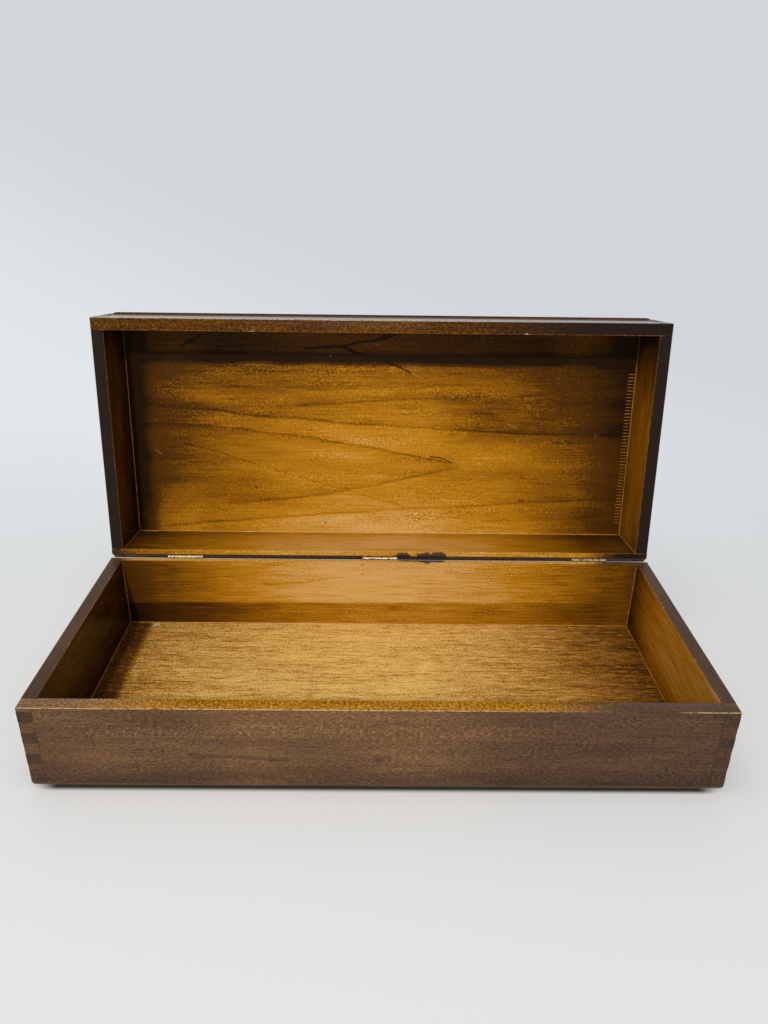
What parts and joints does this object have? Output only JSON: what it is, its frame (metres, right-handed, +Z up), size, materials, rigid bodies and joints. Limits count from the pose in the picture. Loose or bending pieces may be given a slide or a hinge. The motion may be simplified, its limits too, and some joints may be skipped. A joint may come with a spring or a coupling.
{
  "type": "hinged wooden storage box",
  "caption": "Finger-jointed wooden storage box for dominoes, with a lid that swings on small butt hinges along its back edge.",
  "frame": {"origin": "centre of the flat underside", "axes": "+X to the right along the length, +Y towards the hinged back, +Z up; the front faces -Y and the lid is stored open"},
  "size_m": [0.392, 0.2429, 0.2261],
  "materials": {
    "frame_board": "dark walnut stain under satin varnish",
    "bottom_panel": "varnished plywood",
    "top_board": "amber varnish with dark edges",
    "hinge_brass": "worn plain brass",
    "pin_steel": "plain wire",
    "screw_brass": "plain brass"
  },
  "bodies": {
    "base": {"base_front_board": "frame_board", "base_back_board": "frame_board", "base_left_board": "frame_board", "base_right_board": "frame_board", "base_bottom_panel": "bottom_panel", "hinge_left_base_leaf": "hinge_brass", "hinge_middle_base_leaf": "hinge_brass", "hinge_right_base_leaf": "hinge_brass", "hinge_left_pin": "pin_steel", "hinge_middle_pin": "pin_steel", "hinge_right_pin": "pin_steel", "base_hinge_screws": "screw_brass"},
    "lid": {"lid_front_board": "frame_board", "lid_back_board": "frame_board", "lid_left_board": "frame_board", "lid_right_board": "frame_board", "lid_top_board": "top_board", "hinge_left_lid_leaf": "hinge_brass", "hinge_middle_lid_leaf": "hinge_brass", "hinge_right_lid_leaf": "hinge_brass", "lid_hinge_screws": "screw_brass"}
  },
  "joints": [
    {"name": "lid_hinge", "type": "hinge", "parent": "base", "child": "lid", "pos_m": [0, 0.08368, 0.05765], "axis": [1, 0, 0], "range_deg": [0, 98]}
  ]
}
